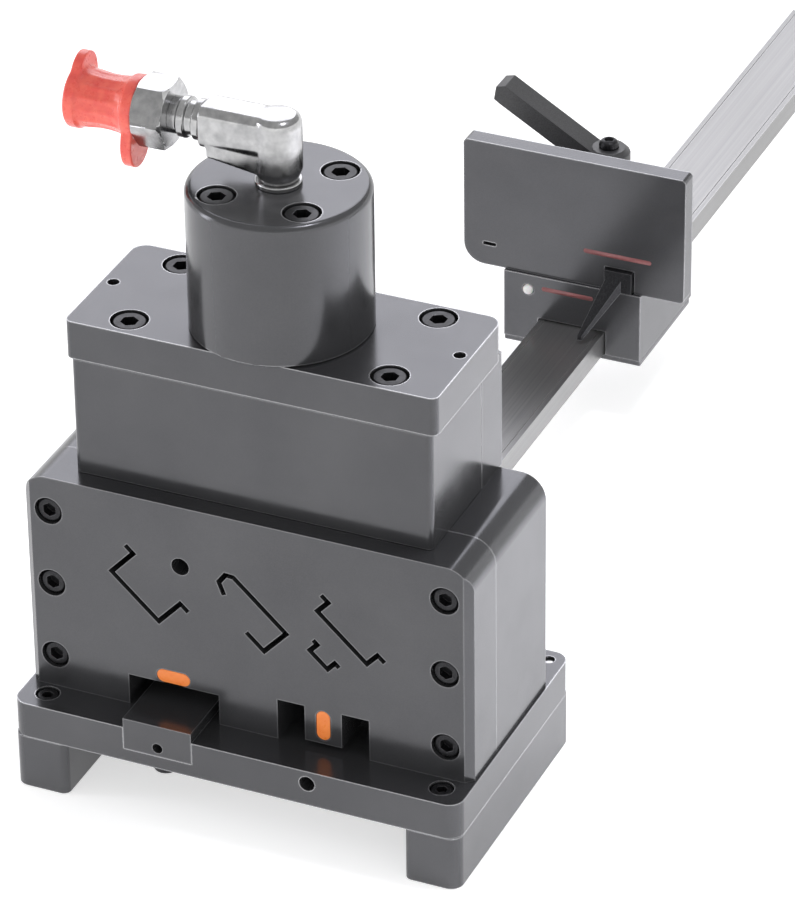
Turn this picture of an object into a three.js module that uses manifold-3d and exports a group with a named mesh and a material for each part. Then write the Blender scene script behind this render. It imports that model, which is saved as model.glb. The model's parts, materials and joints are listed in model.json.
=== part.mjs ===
// Bench cutter and punch for mounting rails, driven by a hydraulic cylinder, with a length stop.
// Millimetres, +Z up. The model is laid out in the machine's own frame: X across the front, Y away
// from the operator with the die plate's face at y = 0, z = 0 on the base plate. The group at the end
// moves that frame so that the origin is under the middle of the whole object, on the floor.
import * as THREE from 'three';
import { mergeVertices } from 'three/addons/utils/BufferGeometryUtils.js';
import Module from 'manifold-3d';

const wasm = await Module();
wasm.setup();

// ---- driving dimensions -------------------------------------------------------------------------
const base = { half: 91, front: -15.5, back: 93.5, thick: 15, corner: 6 };
const foot = { inner: 69, high: 22.5 };
const housing = { half: 90, seam: 23, back: 71, high: 92, shoulder: 10 };
const tower = { half: 71.5, front: 8, seam: 54, back: 73, top: 140.5 };
const lid = { half: 73.5, front: 8, back: 70, top: 156 };
const ramBox = { half: 43, front: 16 };
const jack = { y: 38, radius: 34, top: 213, bore: 18, boreTop: 197, port: 6.5 };
const blade = { half: 61.5, front: 23.5, back: 37.5, low: 28, top: 90, pocket: 62, pocketBack: 38 };
const neck = { half: 25, top: 104 };
const tenon = { half: 20, front: 25, back: 36, top: 114 };
const head = { low: 104, top: 126, half: 42.5, front: 16.5, back: 53.5 };
const station = { x: 30.5, half: 18.5, punchY: 30.5, leftHigh: 13, rightHigh: 17.5 };
const oblong = { long: 13.5, short: 6 };
const tongue = { half: 7.5, gap: 2.5 };
const leftDie = { half: 14, top: 4, low: -9.5, back: 45, holeHigh: -6 };
const rightDie = { half: 16.5, low: -8, front: 23.5, back: 45 };
const rail = { half: 14.5, top: 2.5, thick: 10, start: 72, end: 624.5 };
const slider = { half: 30.5, ledge: 318.5, front: 328, back: 378, top: 46, low: -8, keeper: -10.5 };
const plate = { half: 49, front: 320, low: 23, top: 80.5 };
const clamp = { y: 359, boss: 10, bossTop: 53, hub: 9, hubTop: 67, reach: 48.5, rise: 22 };
const plug = { x: -19.5, z: 16 };
const fitting = { z: 232.5, wide: 17.5, armEnd: -28, hexIn: -40.5, hexOut: -52.5, capEnd: -80 };

// Sizes of socket head cap screws: shank, head and key, all as radii except the head's height.
const m5 = { shank: 2.5, head: 4.25, headHigh: 5, key: 2.3 };
const m6 = { shank: 3, head: 5, headHigh: 6, key: 2.9 };
const m8 = { shank: 4, head: 6.5, headHigh: 8, key: 3.5 };
const clearance = 0.3;

// Rail sections, each drawn on its mid-line with the web along u and its centre at the origin.
const slot = { tilt: -43, wide: 2, bladeWide: 2.6 };
const hat = (wide, high, web) => [
  [-wide / 2, high], [-web / 2, high], [-web / 2, 0], [web / 2, 0], [web / 2, high], [wide / 2, high],
];
const gSection = [[-10, -9], [-15, -6.5], [-15.5, -2], [-13, 0], [15.5, 0], [15.5, -13.5], [6, -13.5]];
const sections = [
  { at: [-45, 48.7], line: hat(34, 13.5, 25.5) },
  { at: [5, 58], line: gSection },
  { at: [38.8, 51.6], line: hat(34, 6.5, 26.5) },
  { at: [29.2, 39.4], line: hat(14, 4.5, 9.5) },
];
const barHole = { x: -26, z: 66.2, radius: 3.5 };

// Places of the fasteners.
const plateScrews = [79.5, -79.5].flatMap((x) => [14, 46, 77.5].map((z) => [x, z]));
const lidScrews = [[-51.5, 17.5], [51.5, 17.5], [-51.5, 61.5], [51.5, 61.5]];
const jackScrews = [[-1, -1], [1, -1], [-1, 1], [1, 1]].map(([a, b]) => [a * 16.7, jack.y + b * 16.7]);
const baseScrew = { x: 80.5, y: -6 };
const baseDowel = { x: 84.5, y: 87.5, radius: 2 };
const lidDowel = { x: 69, y: 40, radius: 2.25 };
const housingScrew = { x: 80.5, y: 50 };
const railScrews = [78.5, 88];
const dieScrewFront = -8.5;

// ---- solids -------------------------------------------------------------------------------------
const X = new THREE.Vector3(1, 0, 0);
const Y = new THREE.Vector3(0, 1, 0);
const Z = new THREE.Vector3(0, 0, 1);

// A closed geometry becomes a manifold solid with its faces pointing out.
function solid(geometry) {
  const bare = geometry.index ? geometry.toNonIndexed() : geometry.clone();
  bare.deleteAttribute('normal');
  bare.deleteAttribute('uv');
  const merged = mergeVertices(bare, 1e-4);
  const spots = merged.attributes.position.array;
  const corners = Array.from(merged.index.array);
  const faces = [];
  for (let i = 0; i < corners.length; i += 3) {
    const [a, b, c] = corners.slice(i, i + 3);
    if (a !== b && b !== c && a !== c) faces.push([a, b, c]);
  }
  const point = (i) => new THREE.Vector3().fromArray(spots, i * 3);
  const volume = faces.reduce((sum, [a, b, c]) => sum + point(a).dot(point(b).cross(point(c))), 0);
  if (volume < 0) faces.forEach((face) => face.reverse());
  const mesh = new wasm.Mesh({
    numProp: 3,
    vertProperties: new Float32Array(spots),
    triVerts: new Uint32Array(faces.flat()),
  });
  return new wasm.Manifold(mesh);
}

function box(x0, x1, y0, y1, z0, z1) {
  const shape = new THREE.BoxGeometry(x1 - x0, y1 - y0, z1 - z0);
  shape.translate((x0 + x1) / 2, (y0 + y1) / 2, (z0 + z1) / 2);
  return solid(shape);
}

// A round bar along an axis. The place is (y, z), (x, z) or (x, y) for axis x, y or z.
function bar(axis, place, low, high, radius, sides = 12) {
  const shape = new THREE.CylinderGeometry(radius, radius, high - low, sides);
  const middle = (low + high) / 2;
  if (axis === 'x') shape.rotateZ(Math.PI / 2).translate(middle, place[0], place[1]);
  if (axis === 'y') shape.translate(place[0], middle, place[1]);
  if (axis === 'z') shape.rotateX(Math.PI / 2).translate(place[0], place[1], middle);
  return solid(shape);
}

// An outline pulled along an axis: drawn in (y, z), (x, z) or (x, y) for axis x, y or z.
function pull(axis, outline, low, high, curveSegments = 4) {
  const shape = new THREE.ExtrudeGeometry(outline, { depth: high - low, bevelEnabled: false, curveSegments });
  const turn = new THREE.Matrix4();
  if (axis === 'x') turn.makeBasis(Y, Z, X).setPosition(low, 0, 0);
  if (axis === 'y') turn.makeBasis(X, Z, Y.clone().negate()).setPosition(0, high, 0);
  if (axis === 'z') turn.setPosition(0, 0, low);
  return solid(shape.applyMatrix4(turn));
}

// A turned part about +Z: points are (radius, height) and start and end on the axis or close.
function turned(points, sides = 24) {
  const profile = points.map(([r, h]) => new THREE.Vector2(r, h));
  return solid(new THREE.LatheGeometry(profile, sides).rotateX(Math.PI / 2));
}

const cut = (body, ...tools) => tools.flat().reduce((rest, tool) => rest.subtract(tool), body);
const join = (body, ...more) => more.flat().reduce((whole, next) => whole.add(next), body);

// A rectangle with its own radius at each corner, from the low corner round to the right.
function plateOutline(x0, x1, y0, y1, radii) {
  const [a, b, c, d] = Array.isArray(radii) ? radii : [radii, radii, radii, radii];
  const quarter = Math.PI / 2;
  const outline = new THREE.Shape();
  outline.moveTo(x0 + a, y0);
  outline.lineTo(x1 - b, y0);
  if (b > 0) outline.absarc(x1 - b, y0 + b, b, -quarter, 0);
  outline.lineTo(x1, y1 - c);
  if (c > 0) outline.absarc(x1 - c, y1 - c, c, 0, quarter);
  outline.lineTo(x0 + d, y1);
  if (d > 0) outline.absarc(x0 + d, y1 - d, d, quarter, 2 * quarter);
  outline.lineTo(x0, y0 + a);
  if (a > 0) outline.absarc(x0 + a, y0 + a, a, 2 * quarter, 3 * quarter);
  outline.closePath();
  return outline;
}

// An oblong with round ends, long along u or along v.
function oblongOutline(u, v, longU, longV) {
  const radius = Math.min(longU, longV) / 2;
  return plateOutline(u - longU / 2, u + longU / 2, v - longV / 2, v + longV / 2, radius * 0.999);
}

// The outline of a bent strip of even width whose middle follows the points, with mitred bends.
function stripOutline(points, wide) {
  const line = points.map(([u, v]) => new THREE.Vector2(u, v));
  const side = (sign) => line.map((point, i) => {
    const into = line[Math.max(i, 1)].clone().sub(line[Math.max(i, 1) - 1]).normalize();
    const out = line[Math.min(i + 1, line.length - 1)].clone();
    out.sub(line[Math.min(i, line.length - 2)]).normalize();
    const mitre = new THREE.Vector2(-into.y - out.y, into.x + out.x).normalize();
    const stretch = mitre.dot(new THREE.Vector2(-into.y, into.x));
    return point.clone().addScaledVector(mitre, (sign * wide) / 2 / stretch);
  });
  return new THREE.Shape([...side(1), ...side(-1).reverse()]);
}

// The slot for one rail section, cut along Y.
function sectionSlot(section, wide, low, high) {
  const tilt = THREE.MathUtils.degToRad(slot.tilt);
  const middle = new THREE.Vector2(...section.at);
  const placed = section.line.map(([u, v]) => new THREE.Vector2(u, v)
    .rotateAround(new THREE.Vector2(), tilt).add(middle).toArray());
  return pull('y', stripOutline(placed, wide), low, high);
}

// A socket head cap screw along -Z, with the top of its head at the origin.
function capScrew(size, length) {
  const key = new THREE.CylinderGeometry(size.key, size.key, 8, 6).rotateX(Math.PI / 2);
  const under = -size.headHigh;
  const body = turned([
    [0, under - length], [size.shank, under - length], [size.shank, under], [size.head, under],
    [size.head, 0], [0, 0],
  ], 12);
  return cut(body, solid(key.translate(0, 0, 4 - size.headHigh / 2)));
}

// ---- the group and its pieces --------------------------------------------------------------------
const machine = new THREE.Group();
machine.position.set(0, -(base.front + rail.end) / 2, base.thick + foot.high);

const finishes = {
  black: { color: 0x4a4b50, roughness: 0.34, metalness: 0.85 },
  tool: { color: 0x6d6f75, roughness: 0.3, metalness: 0.9 },
  screw: { color: 0x1c1c1f, roughness: 0.45, metalness: 0.8 },
  zinc: { color: 0xc9ccd0, roughness: 0.22, metalness: 1 },
  aluminium: { color: 0xbfc0c4, roughness: 0.38, metalness: 0.9 },
  rubber: { color: 0x151515, roughness: 0.8, metalness: 0 },
  bronze: { color: 0xa97b42, roughness: 0.35, metalness: 0.9 },
  cap: { color: 0xe8574f, roughness: 0.42, metalness: 0 },
  paint: { color: 0xf47a35, roughness: 0.5, metalness: 0 },
  nylon: { color: 0xe9e9e6, roughness: 0.5, metalness: 0 },
  plastic: { color: 0x45464a, roughness: 0.55, metalness: 0 },
};

function place(name, finish, body, position = [0, 0, 0], rotation = [0, 0, 0]) {
  const { vertProperties, triVerts, numProp } = body.getMesh();
  const shape = new THREE.BufferGeometry();
  const spots = new Float32Array((vertProperties.length / numProp) * 3);
  for (let i = 0; i < spots.length / 3; i += 1) {
    spots.set(vertProperties.subarray(i * numProp, i * numProp + 3), i * 3);
  }
  shape.setAttribute('position', new THREE.BufferAttribute(spots, 3));
  shape.setIndex(new THREE.BufferAttribute(new Uint32Array(triVerts), 1));
  shape.computeVertexNormals();
  const mesh = new THREE.Mesh(shape, new THREE.MeshStandardMaterial(finishes[finish]));
  mesh.name = name;
  mesh.position.set(...position);
  mesh.rotation.set(...rotation);
  machine.add(mesh);
}

// ---- base ----------------------------------------------------------------------------------------
function basePlate() {
  const { half, front, back, thick, corner } = base;
  const x = station.x;
  const body = pull('z', plateOutline(-half, half, front, back, corner), -thick, 0);
  const screwHoles = [-1, 1].flatMap((side) => [
    bar('z', [side * baseScrew.x, baseScrew.y], -thick - 1, 1, m5.shank + clearance),
    bar('z', [side * baseScrew.x, baseScrew.y], -5.5, 1, m5.head + clearance),
    bar('z', [side * baseDowel.x, baseDowel.y], -12, 1, baseDowel.radius + clearance, 12),
    bar('z', [side * housingScrew.x, housingScrew.y], -thick - 1, 1, m8.shank + clearance),
  ]);
  return cut(
    body,
    screwHoles,
    box(-x - leftDie.half, -x + leftDie.half, front - 1, leftDie.back, leftDie.low, 1),
    box(x - rightDie.half, x + rightDie.half, rightDie.front, rightDie.back, rightDie.low, 1),
    [-x, x].map((place) => bar('z', [place, station.punchY], -thick - 1, 0, 8.5)),
    bar('z', [-x, dieScrewFront], -thick - 1, 0, m5.shank + clearance),
    bar('y', [x, -5.5], front - 1, front + 9, 3, 12),
    box(-rail.half, rail.half, rail.start, back + 1, rail.top - rail.thick, 1),
    railScrews.map((y) => bar('z', [0, y], -thick - 1, 0, m5.shank + clearance)),
  );
}

function footBar(side) {
  const low = -base.thick - foot.high;
  const [x0, x1] = side < 0 ? [-base.half, -foot.inner] : [foot.inner, base.half];
  const x = side * housingScrew.x;
  const radii = side < 0 ? [5, 3, 3, 5] : [3, 5, 5, 3];
  return cut(
    pull('z', plateOutline(x0, x1, base.front, base.back, radii), low, -base.thick),
    bar('z', [side * baseScrew.x, baseScrew.y], -28, 0, m5.shank + clearance),
    bar('z', [x, housingScrew.y], low - 1, 0, m8.shank + clearance),
    bar('z', [x, housingScrew.y], low - 1, low + 9, m8.head + clearance),
  );
}

place('base_plate', 'black', basePlate());
place('left_foot', 'black', footBar(-1));
place('right_foot', 'black', footBar(1));

// ---- lower housing -------------------------------------------------------------------------------
const housingOutline = () => {
  const round = housing.shoulder;
  return plateOutline(-housing.half, housing.half, 0, housing.high, [0, 0, round, round]);
};

function frontDiePlate() {
  const { x, half, leftHigh, rightHigh } = station;
  const { seam, high } = housing;
  const edge = 3;
  const corner = (side) => new THREE.Shape([
    new THREE.Vector2(side * housing.half, edge),
    new THREE.Vector2(side * (housing.half - edge), 0),
    new THREE.Vector2(side * (housing.half + 1), -1),
  ]);
  const screwHoles = plateScrews.flatMap(([u, v]) => [
    bar('y', [u, v], -1, seam + 1, m6.shank + clearance),
    bar('y', [u, v], -1, 7, m6.head + clearance + 0.2),
  ]);
  return cut(
    pull('y', housingOutline(), 0, seam, 8),
    [-1, 1].map((side) => pull('z', corner(side), -1, high + 1)),
    screwHoles,
    sections.map((section) => sectionSlot(section, slot.wide, -1, seam + 1)),
    bar('y', [barHole.x, barHole.z], -1, seam + 1, barHole.radius),
    box(-x - half, -x + half, -1, seam + 1, -1, leftHigh),
    box(x - half, x - tongue.half, -1, seam + 1, -1, rightHigh),
    box(x + tongue.half, x + half, -1, seam + 1, -1, rightHigh),
    box(x - tongue.half - 1, x + tongue.half + 1, -1, seam + 1, -1, tongue.gap),
    pull('y', oblongOutline(-x, 16, 14, 6), -1, 0.5),
    pull('y', oblongOutline(x, 10.5, 6, 13), -1, 0.5),
  );
}

function rearBlock() {
  const { seam, back, high } = housing;
  const { x, half, leftHigh, rightHigh } = station;
  const room = 1;
  const windows = [[-57, -20, 37, 73], [-14, 20, 35, 71], [23, 58, 34, 71]];
  return cut(
    pull('y', housingOutline(), seam, back, 8),
    box(-blade.pocket, blade.pocket, seam - 1, blade.pocketBack, -1, high + 1),
    windows.map(([x0, x1, z0, z1]) => box(x0, x1, seam, back + 1, z0, z1)),
    box(-x - half - 0.5, -x + half + 0.5, seam, back + 1, -1, leftHigh + room),
    box(x - half - 0.5, x + half + 0.5, seam, back + 1, -1, rightHigh + room),
    plateScrews.map(([u, v]) => bar('y', [u, v], seam - 1, 42, m6.shank + clearance)),
    [-1, 1].map((side) => bar('z', [side * housingScrew.x, housingScrew.y], -1, 24, m8.shank + clearance)),
  );
}

place('front_die_plate', 'black', frontDiePlate());
place('rear_block', 'black', rearBlock());

// ---- stations: dies, punches and their painted marks ----------------------------------------------
function leftStationDie() {
  const { half, top, low, back } = leftDie;
  const x = -station.x;
  return cut(
    box(x - half, x + half, base.front, back, low, top),
    pull('z', oblongOutline(x, station.punchY, oblong.long + 0.6, oblong.short + 0.6), low - 1, top + 1),
    bar('z', [x, dieScrewFront], low - 1, 0, m5.shank + clearance),
    bar('y', [x, leftDie.holeHigh], base.front - 1, base.front + 6, 2, 12),
  );
}

function rightStationDie() {
  const { half, low, front, back } = rightDie;
  const hole = oblongOutline(station.x, station.punchY, oblong.short + 0.6, oblong.long + 0.6);
  return cut(
    box(station.x - half, station.x + half, front, back, low, 0),
    pull('z', hole, low - 1, 1),
  );
}

function punch(x, wideX, wideY, tip) {
  return pull('z', oblongOutline(x, station.punchY, wideX, wideY), tip, blade.low);
}

place('left_die', 'tool', leftStationDie());
place('right_die', 'tool', rightStationDie());
place('left_punch', 'tool', punch(-station.x, oblong.long, oblong.short, 9.5));
place('right_punch', 'tool', punch(station.x, oblong.short, oblong.long, 5));
place('left_mark', 'paint', pull('y', oblongOutline(-station.x, 16, 13.5, 5.5), 0, 0.5));
place('right_mark', 'paint', pull('y', oblongOutline(station.x, 10.5, 5.5, 12.5), 0, 0.5));

// ---- ram: blade, crosshead, pin and piston ---------------------------------------------------------
function movingBlade() {
  const { half, front, back, low, top } = blade;
  return cut(
    join(
      box(-half, half, front, back, low, top),
      box(-neck.half, neck.half, front, back, top - 1, neck.top),
      box(-tenon.half, tenon.half, tenon.front, tenon.back, neck.top - 1, tenon.top),
    ),
    sections.map((section) => sectionSlot(section, slot.bladeWide, front - 1, back + 1)),
    bar('y', [barHole.x, barHole.z], front - 1, back + 1, barHole.radius + clearance),
    bar('y', [0, 109], front - 1, back + 1, 3 + clearance),
  );
}

function crosshead() {
  return cut(
    box(-head.half, head.half, head.front, head.back, head.low, head.top),
    box(-tenon.half - 0.5, tenon.half + 0.5, tenon.front - 0.5, tenon.back + 0.5, 100, tenon.top + 0.5),
    bar('y', [0, 109], head.front - 1, head.back + 1, 3 + clearance),
    bar('z', [0, jack.y], 115.5, head.top + 1, 7 + clearance),
  );
}

function pistonRod() {
  return turned([
    [0, 116], [7, 116], [7, 126], [10, 126], [10, 183], [17.6, 183], [17.6, 187], [15, 187],
    [15, 190.5], [17.6, 190.5], [17.6, 193], [16.6, 194], [0, 194],
  ]);
}

// The return spring: a round wire along a helix, closed at both ends.
function returnSpring() {
  const [turns, mean, wire, low, high] = [4, 13.8, 1.3, 157.6, 181.4];
  const points = Array.from({ length: turns * 10 + 1 }, (_, i) => {
    const angle = (i / 10) * 2 * Math.PI;
    const rise = low + ((high - low) * i) / (turns * 10);
    return new THREE.Vector3(mean * Math.cos(angle), mean * Math.sin(angle), rise);
  });
  const section = new THREE.Shape(Array.from({ length: 5 }, (_, i) => {
    const angle = (i / 5) * 2 * Math.PI;
    return new THREE.Vector2(wire * Math.cos(angle), wire * Math.sin(angle));
  }));
  const path = new THREE.CatmullRomCurve3(points);
  const options = { steps: turns * 10, extrudePath: path, bevelEnabled: false };
  return solid(new THREE.ExtrudeGeometry(section, options));
}

place('moving_blade', 'tool', movingBlade());
place('crosshead', 'tool', crosshead());
place('blade_pin', 'tool', bar('y', [0, 109], head.front + 0.5, head.back - 0.5, 3));
place('piston_rod', 'zinc', pistonRod(), [0, jack.y, 0]);
place('piston_seal', 'rubber', turned([
  [15.3, 187.3], [17.7, 187.3], [17.7, 190.2], [15.3, 190.2], [15.3, 187.3],
]), [0, jack.y, 0]);
place('return_spring', 'zinc', returnSpring(), [0, jack.y, 0]);

// ---- upper housing, top plate and cylinder ---------------------------------------------------------
function upperHousing() {
  const { half, front, seam, top } = tower;
  return cut(
    pull('z', plateOutline(-half, half, front, seam, [2.5, 2.5, 0, 0]), housing.high, top),
    box(-ramBox.half, ramBox.half, ramBox.front, seam + 1, 0, top + 1),
    lidScrews.slice(0, 2).map(([x, y]) => bar('z', [x, y], 116, top + 1, m8.shank + clearance)),
  );
}

function upperRearPlate() {
  const { half, seam, back, top } = tower;
  return cut(
    box(-half, half, seam, back, housing.high, top),
    lidScrews.slice(2).map(([x, y]) => bar('z', [x, y], 116, top + 1, m8.shank + clearance)),
  );
}

function topPlate() {
  const { half, front, back, top } = lid;
  const low = tower.top;
  return cut(
    pull('z', plateOutline(-half, half, front, back, [3, 3, 6, 6]), low, top),
    lidScrews.flatMap(([x, y]) => [
      bar('z', [x, y], low - 1, top + 1, m8.shank + clearance),
      bar('z', [x, y], top - 8.5, top + 1, m8.head + clearance + 0.3),
    ]),
    jackScrews.map(([x, y]) => bar('z', [x, y], low + 5, top + 1, m8.shank + clearance)),
    [-1, 1].map((side) => bar('z', [side * lidDowel.x, lidDowel.y], top - 6, top + 1, lidDowel.radius, 12)),
    bar('z', [0, jack.y], low - 1, top + 1, 12, 24),
    bar('z', [0, jack.y], 144, top + 1, 14, 24),
  );
}

function rodGuide() {
  return turned([[10.3, 144], [13.7, 144], [13.7, 156], [10.3, 156], [10.3, 144]]);
}

function cylinderBody() {
  const { radius, top, bore, boreTop, port, y } = jack;
  const low = lid.top;
  const shell = turned([
    [bore, low], [radius - 1, low], [radius, low + 1], [radius, top - 2], [radius - 2, top],
    [port, top], [port, boreTop], [bore, boreTop], [bore, low],
  ], 36).translate([0, y, 0]);
  return cut(shell, jackScrews.flatMap(([x, at]) => [
    bar('z', [x, at], low - 1, top + 1, m8.shank + clearance),
    bar('z', [x, at], top - 8.5, top + 1, m8.head + clearance + 0.2),
  ]));
}

place('upper_housing', 'black', upperHousing());
place('upper_rear_plate', 'black', upperRearPlate());
place('top_plate', 'black', topPlate());
place('rod_guide', 'bronze', rodGuide(), [0, jack.y, 0]);
place('cylinder_body', 'black', cylinderBody());

// ---- oil fitting, quick coupler and dust cap -------------------------------------------------------
const half = fitting.wide / 2;
const armOutline = () => plateOutline(jack.y - half, jack.y + half, fitting.z - half, fitting.z + half, 5);

function elbowFitting() {
  const leg = turned([[0, 203], [6, 203], [6, 215], [7.2, 215], [8.2, 220], [0, 220]], 16)
    .translate([0, jack.y, 0]);
  const knee = pull('z', plateOutline(-9, 9, jack.y - half, jack.y + half, 5), 219.5, fitting.z + half, 3);
  const web = pull('y', new THREE.Shape([
    new THREE.Vector2(-5, 216), new THREE.Vector2(4, 216),
    new THREE.Vector2(4, 230), new THREE.Vector2(-25, 230), new THREE.Vector2(-25, 223),
  ]), jack.y - 6.5, jack.y + 6.5);
  return cut(
    join(leg, knee, pull('x', armOutline(), fitting.armEnd, 4, 3), web),
    bar('x', [jack.y, fitting.z], fitting.armEnd - 1, -19, 5.3),
  );
}

// Turned along +Z first, then laid along -X with its zero at the elbow's arm end.
function adapterNipple() {
  const long = fitting.armEnd - fitting.hexIn;
  return turned([
    [0, -8], [5, -8], [5, 0], [7.8, 0], [7.8, 3], [6.6, 3], [6.6, 6], [7.8, 6], [7.8, 9],
    [7, 9], [7, long], [0, long],
  ], 16);
}

function couplerBody() {
  const long = fitting.hexIn - fitting.hexOut;
  const hexagon = new THREE.CylinderGeometry(13.6, 13.6, long, 6).rotateX(Math.PI / 2);
  const crown = turned([
    [0, 0], [12.2, 0], [13.4, 1], [13.4, long - 1], [12.2, long], [0, long],
  ], 24);
  const nose = turned([
    [0, long - 1], [8.5, long - 1], [8.5, 18], [7.6, 18], [7.6, 20], [8.5, 20], [8.5, 30.5], [0, 30.5],
  ], 16);
  return cut(
    join(solid(hexagon.translate(0, 0, long / 2)).intersect(crown), nose),
    bar('z', [0, 0], 14, 40, 5.2),
  );
}

// The cap is a thin sleeve with a closed end and a lobed flange at each end.
function dustCap() {
  const long = fitting.hexOut - fitting.capEnd;
  const start = 0.3;
  const sleeve = turned([
    [8.8, start], [11.6, start], [11.6, 4], [10.2, 4.5], [10.2, 22.5], [12, 24], [12, long], [0, long],
    [0, 20.5], [8.8, 20.5], [8.8, start],
  ], 16);
  const lobe = (angle, reach, low, high) => {
    const turn = THREE.MathUtils.degToRad(angle);
    const outline = new THREE.Shape([
      new THREE.Vector2(11, -6), new THREE.Vector2(reach - 2.5, -3.5), new THREE.Vector2(reach, -1.5),
      new THREE.Vector2(reach, 1.5), new THREE.Vector2(reach - 2.5, 3.5), new THREE.Vector2(11, 6),
      new THREE.Vector2(9.6, 4), new THREE.Vector2(9.6, -4),
    ].map((spot) => spot.rotateAround(new THREE.Vector2(), turn)));
    return pull('z', outline, low, high);
  };
  return join(sleeve, lobe(20, 17.5, 23.5, long - 0.4), lobe(195, 22.5, start, 3.8));
}

const alongArm = [0, -Math.PI / 2, 0];
place('elbow_fitting', 'zinc', elbowFitting());
place('port_seal', 'zinc', turned([[6.3, 213], [8.6, 213], [8.6, 215], [6.3, 215], [6.3, 213]], 16), [0, jack.y, 0]);
place('adapter_nipple', 'zinc', adapterNipple(), [fitting.armEnd, jack.y, fitting.z], alongArm);
place('coupler_body', 'zinc', couplerBody(), [fitting.hexIn, jack.y, fitting.z], alongArm);
place('coupler_poppet', 'zinc', turned([
  [0, 19], [2.5, 19], [2.5, 25], [4.6, 25], [4.6, 28], [3, 29.5], [0, 29.5],
], 12), [fitting.hexIn, jack.y, fitting.z], alongArm);
place('dust_cap', 'cap', dustCap(), [fitting.hexOut, jack.y, fitting.z], alongArm);

// ---- length stop on its rail ------------------------------------------------------------------------
function stopRail() {
  return cut(
    box(-rail.half, rail.half, rail.start, rail.end, rail.top - rail.thick, rail.top),
    railScrews.flatMap((y) => [
      bar('z', [0, y], rail.top - rail.thick - 1, rail.top + 1, m5.shank + clearance),
      bar('z', [0, y], rail.top - 5, rail.top + 1, m5.head + clearance),
    ]),
  );
}

function sliderBody() {
  const { half: wide, ledge, front, back, top, low } = slider;
  return cut(
    join(
      box(-wide, wide, front, back, low, top),
      box(-wide, wide, ledge, front + 1, low, plate.low),
      bar('z', [0, clamp.y], top - 1, clamp.bossTop, clamp.boss, 16),
    ),
    box(-rail.half - 0.5, rail.half + 0.5, ledge - 1, back + 1, low - 1, rail.top + 0.5),
    bar('z', [0, clamp.y], 0, clamp.bossTop + 1, 4 + clearance),
    bar('y', [plug.x, plug.z], ledge - 1, ledge + 5, 2.5, 12),
  );
}

function stopPlate() {
  const { half: wide, front, low, top } = plate;
  const outline = plateOutline(-wide, wide, low, top, [9, 2, 2, 2]);
  return cut(
    pull('y', outline, front, slider.front),
    box(14, 27, front - 1, slider.front + 1, low - 1, 33.5),
    pull('y', oblongOutline(-37.5, 33, 6, 1.6), front - 1, front + 3),
  );
}

// The index finger fills the plate's notch and tapers down to the scale on the rail.
function indexFinger() {
  const ring = (x0, x1, y, z0, z1) => [[x0, y, z0], [x1, y, z0], [x1, y, z1], [x0, y, z1]];
  const spots = [...ring(15, 22, 318, 23.5, 29), ...ring(7.5, 9.5, 306, 4.5, 6.5)].flat();
  const faces = [0, 3, 2, 0, 2, 1, 4, 5, 6, 4, 6, 7];
  for (let i = 0; i < 4; i += 1) {
    const j = (i + 1) % 4;
    faces.push(i, j, j + 4, i, j + 4, i + 4);
  }
  const taper = new THREE.BufferGeometry();
  taper.setAttribute('position', new THREE.Float32BufferAttribute(spots, 3));
  taper.setIndex(faces);
  return join(box(14.5, 26.5, 317.9, slider.front, 23.5, 33), solid(taper));
}

// The clamp lever: a hub with an arm that rises away from it, modelled with its pivot at the origin.
function clampHandle() {
  const { hub, reach, rise, bossTop, hubTop } = clamp;
  const arm = new THREE.Shape();
  arm.moveTo(-4, hubTop - 12);
  arm.lineTo(-4, hubTop - 2);
  arm.lineTo(-reach + 4, hubTop + rise);
  arm.lineTo(-reach, hubTop + rise - 1);
  arm.lineTo(-reach - 1, hubTop + rise - 7);
  arm.lineTo(-reach + 2, hubTop + rise - 9);
  arm.closePath();
  const crown = turned([
    [0, bossTop + 0.5], [hub - 1, bossTop + 0.5], [hub, bossTop + 1.5], [hub, hubTop - 2], [hub - 2, hubTop],
    [0, hubTop],
  ], 16);
  return cut(
    join(crown, pull('y', arm, -5.5, 5.5)),
    bar('z', [0, 0], 0, hubTop - 6, 4 + clearance),
    bar('z', [0, 0], 0, hubTop + 1, m5.shank + clearance),
  );
}

place('stop_rail', 'aluminium', stopRail());
place('slider_body', 'black', sliderBody());
place('slider_keeper', 'black', box(
  -slider.half, slider.half, slider.ledge + 0.5, slider.back - 2, slider.keeper, slider.low,
));
place('stop_plate', 'black', stopPlate());
place('index_finger', 'screw', indexFinger());
place('leg_plug', 'nylon', turned([[0, 0], [2.2, 0], [2.2, 5], [1.6, 6], [0, 6]], 12),
  [plug.x, slider.ledge + 4.5, plug.z], [Math.PI / 2, 0, 0]);
place('clamp_stud', 'zinc', turned([
  [0, rail.top + 0.5], [3, rail.top + 0.5], [4, 4], [4, clamp.hubTop - 6.5], [0, clamp.hubTop - 6.5],
], 12), [0, clamp.y, 0]);
place('clamp_handle', 'plastic', clampHandle(), [0, clamp.y, 0]);
place('handle_cap_screw', 'screw', turned([
  [0, -5.5], [2.5, -5.5], [2.5, 0], [4.2, 0], [4.2, 2], [3.2, 3.5], [0, 3.5],
], 12), [0, clamp.y, clamp.hubTop]);

// ---- fasteners ---------------------------------------------------------------------------------------
const upright = [0, 0, 0];
const facingOut = [Math.PI / 2, 0, 0];
const facingDown = [Math.PI, 0, 0];

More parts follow.
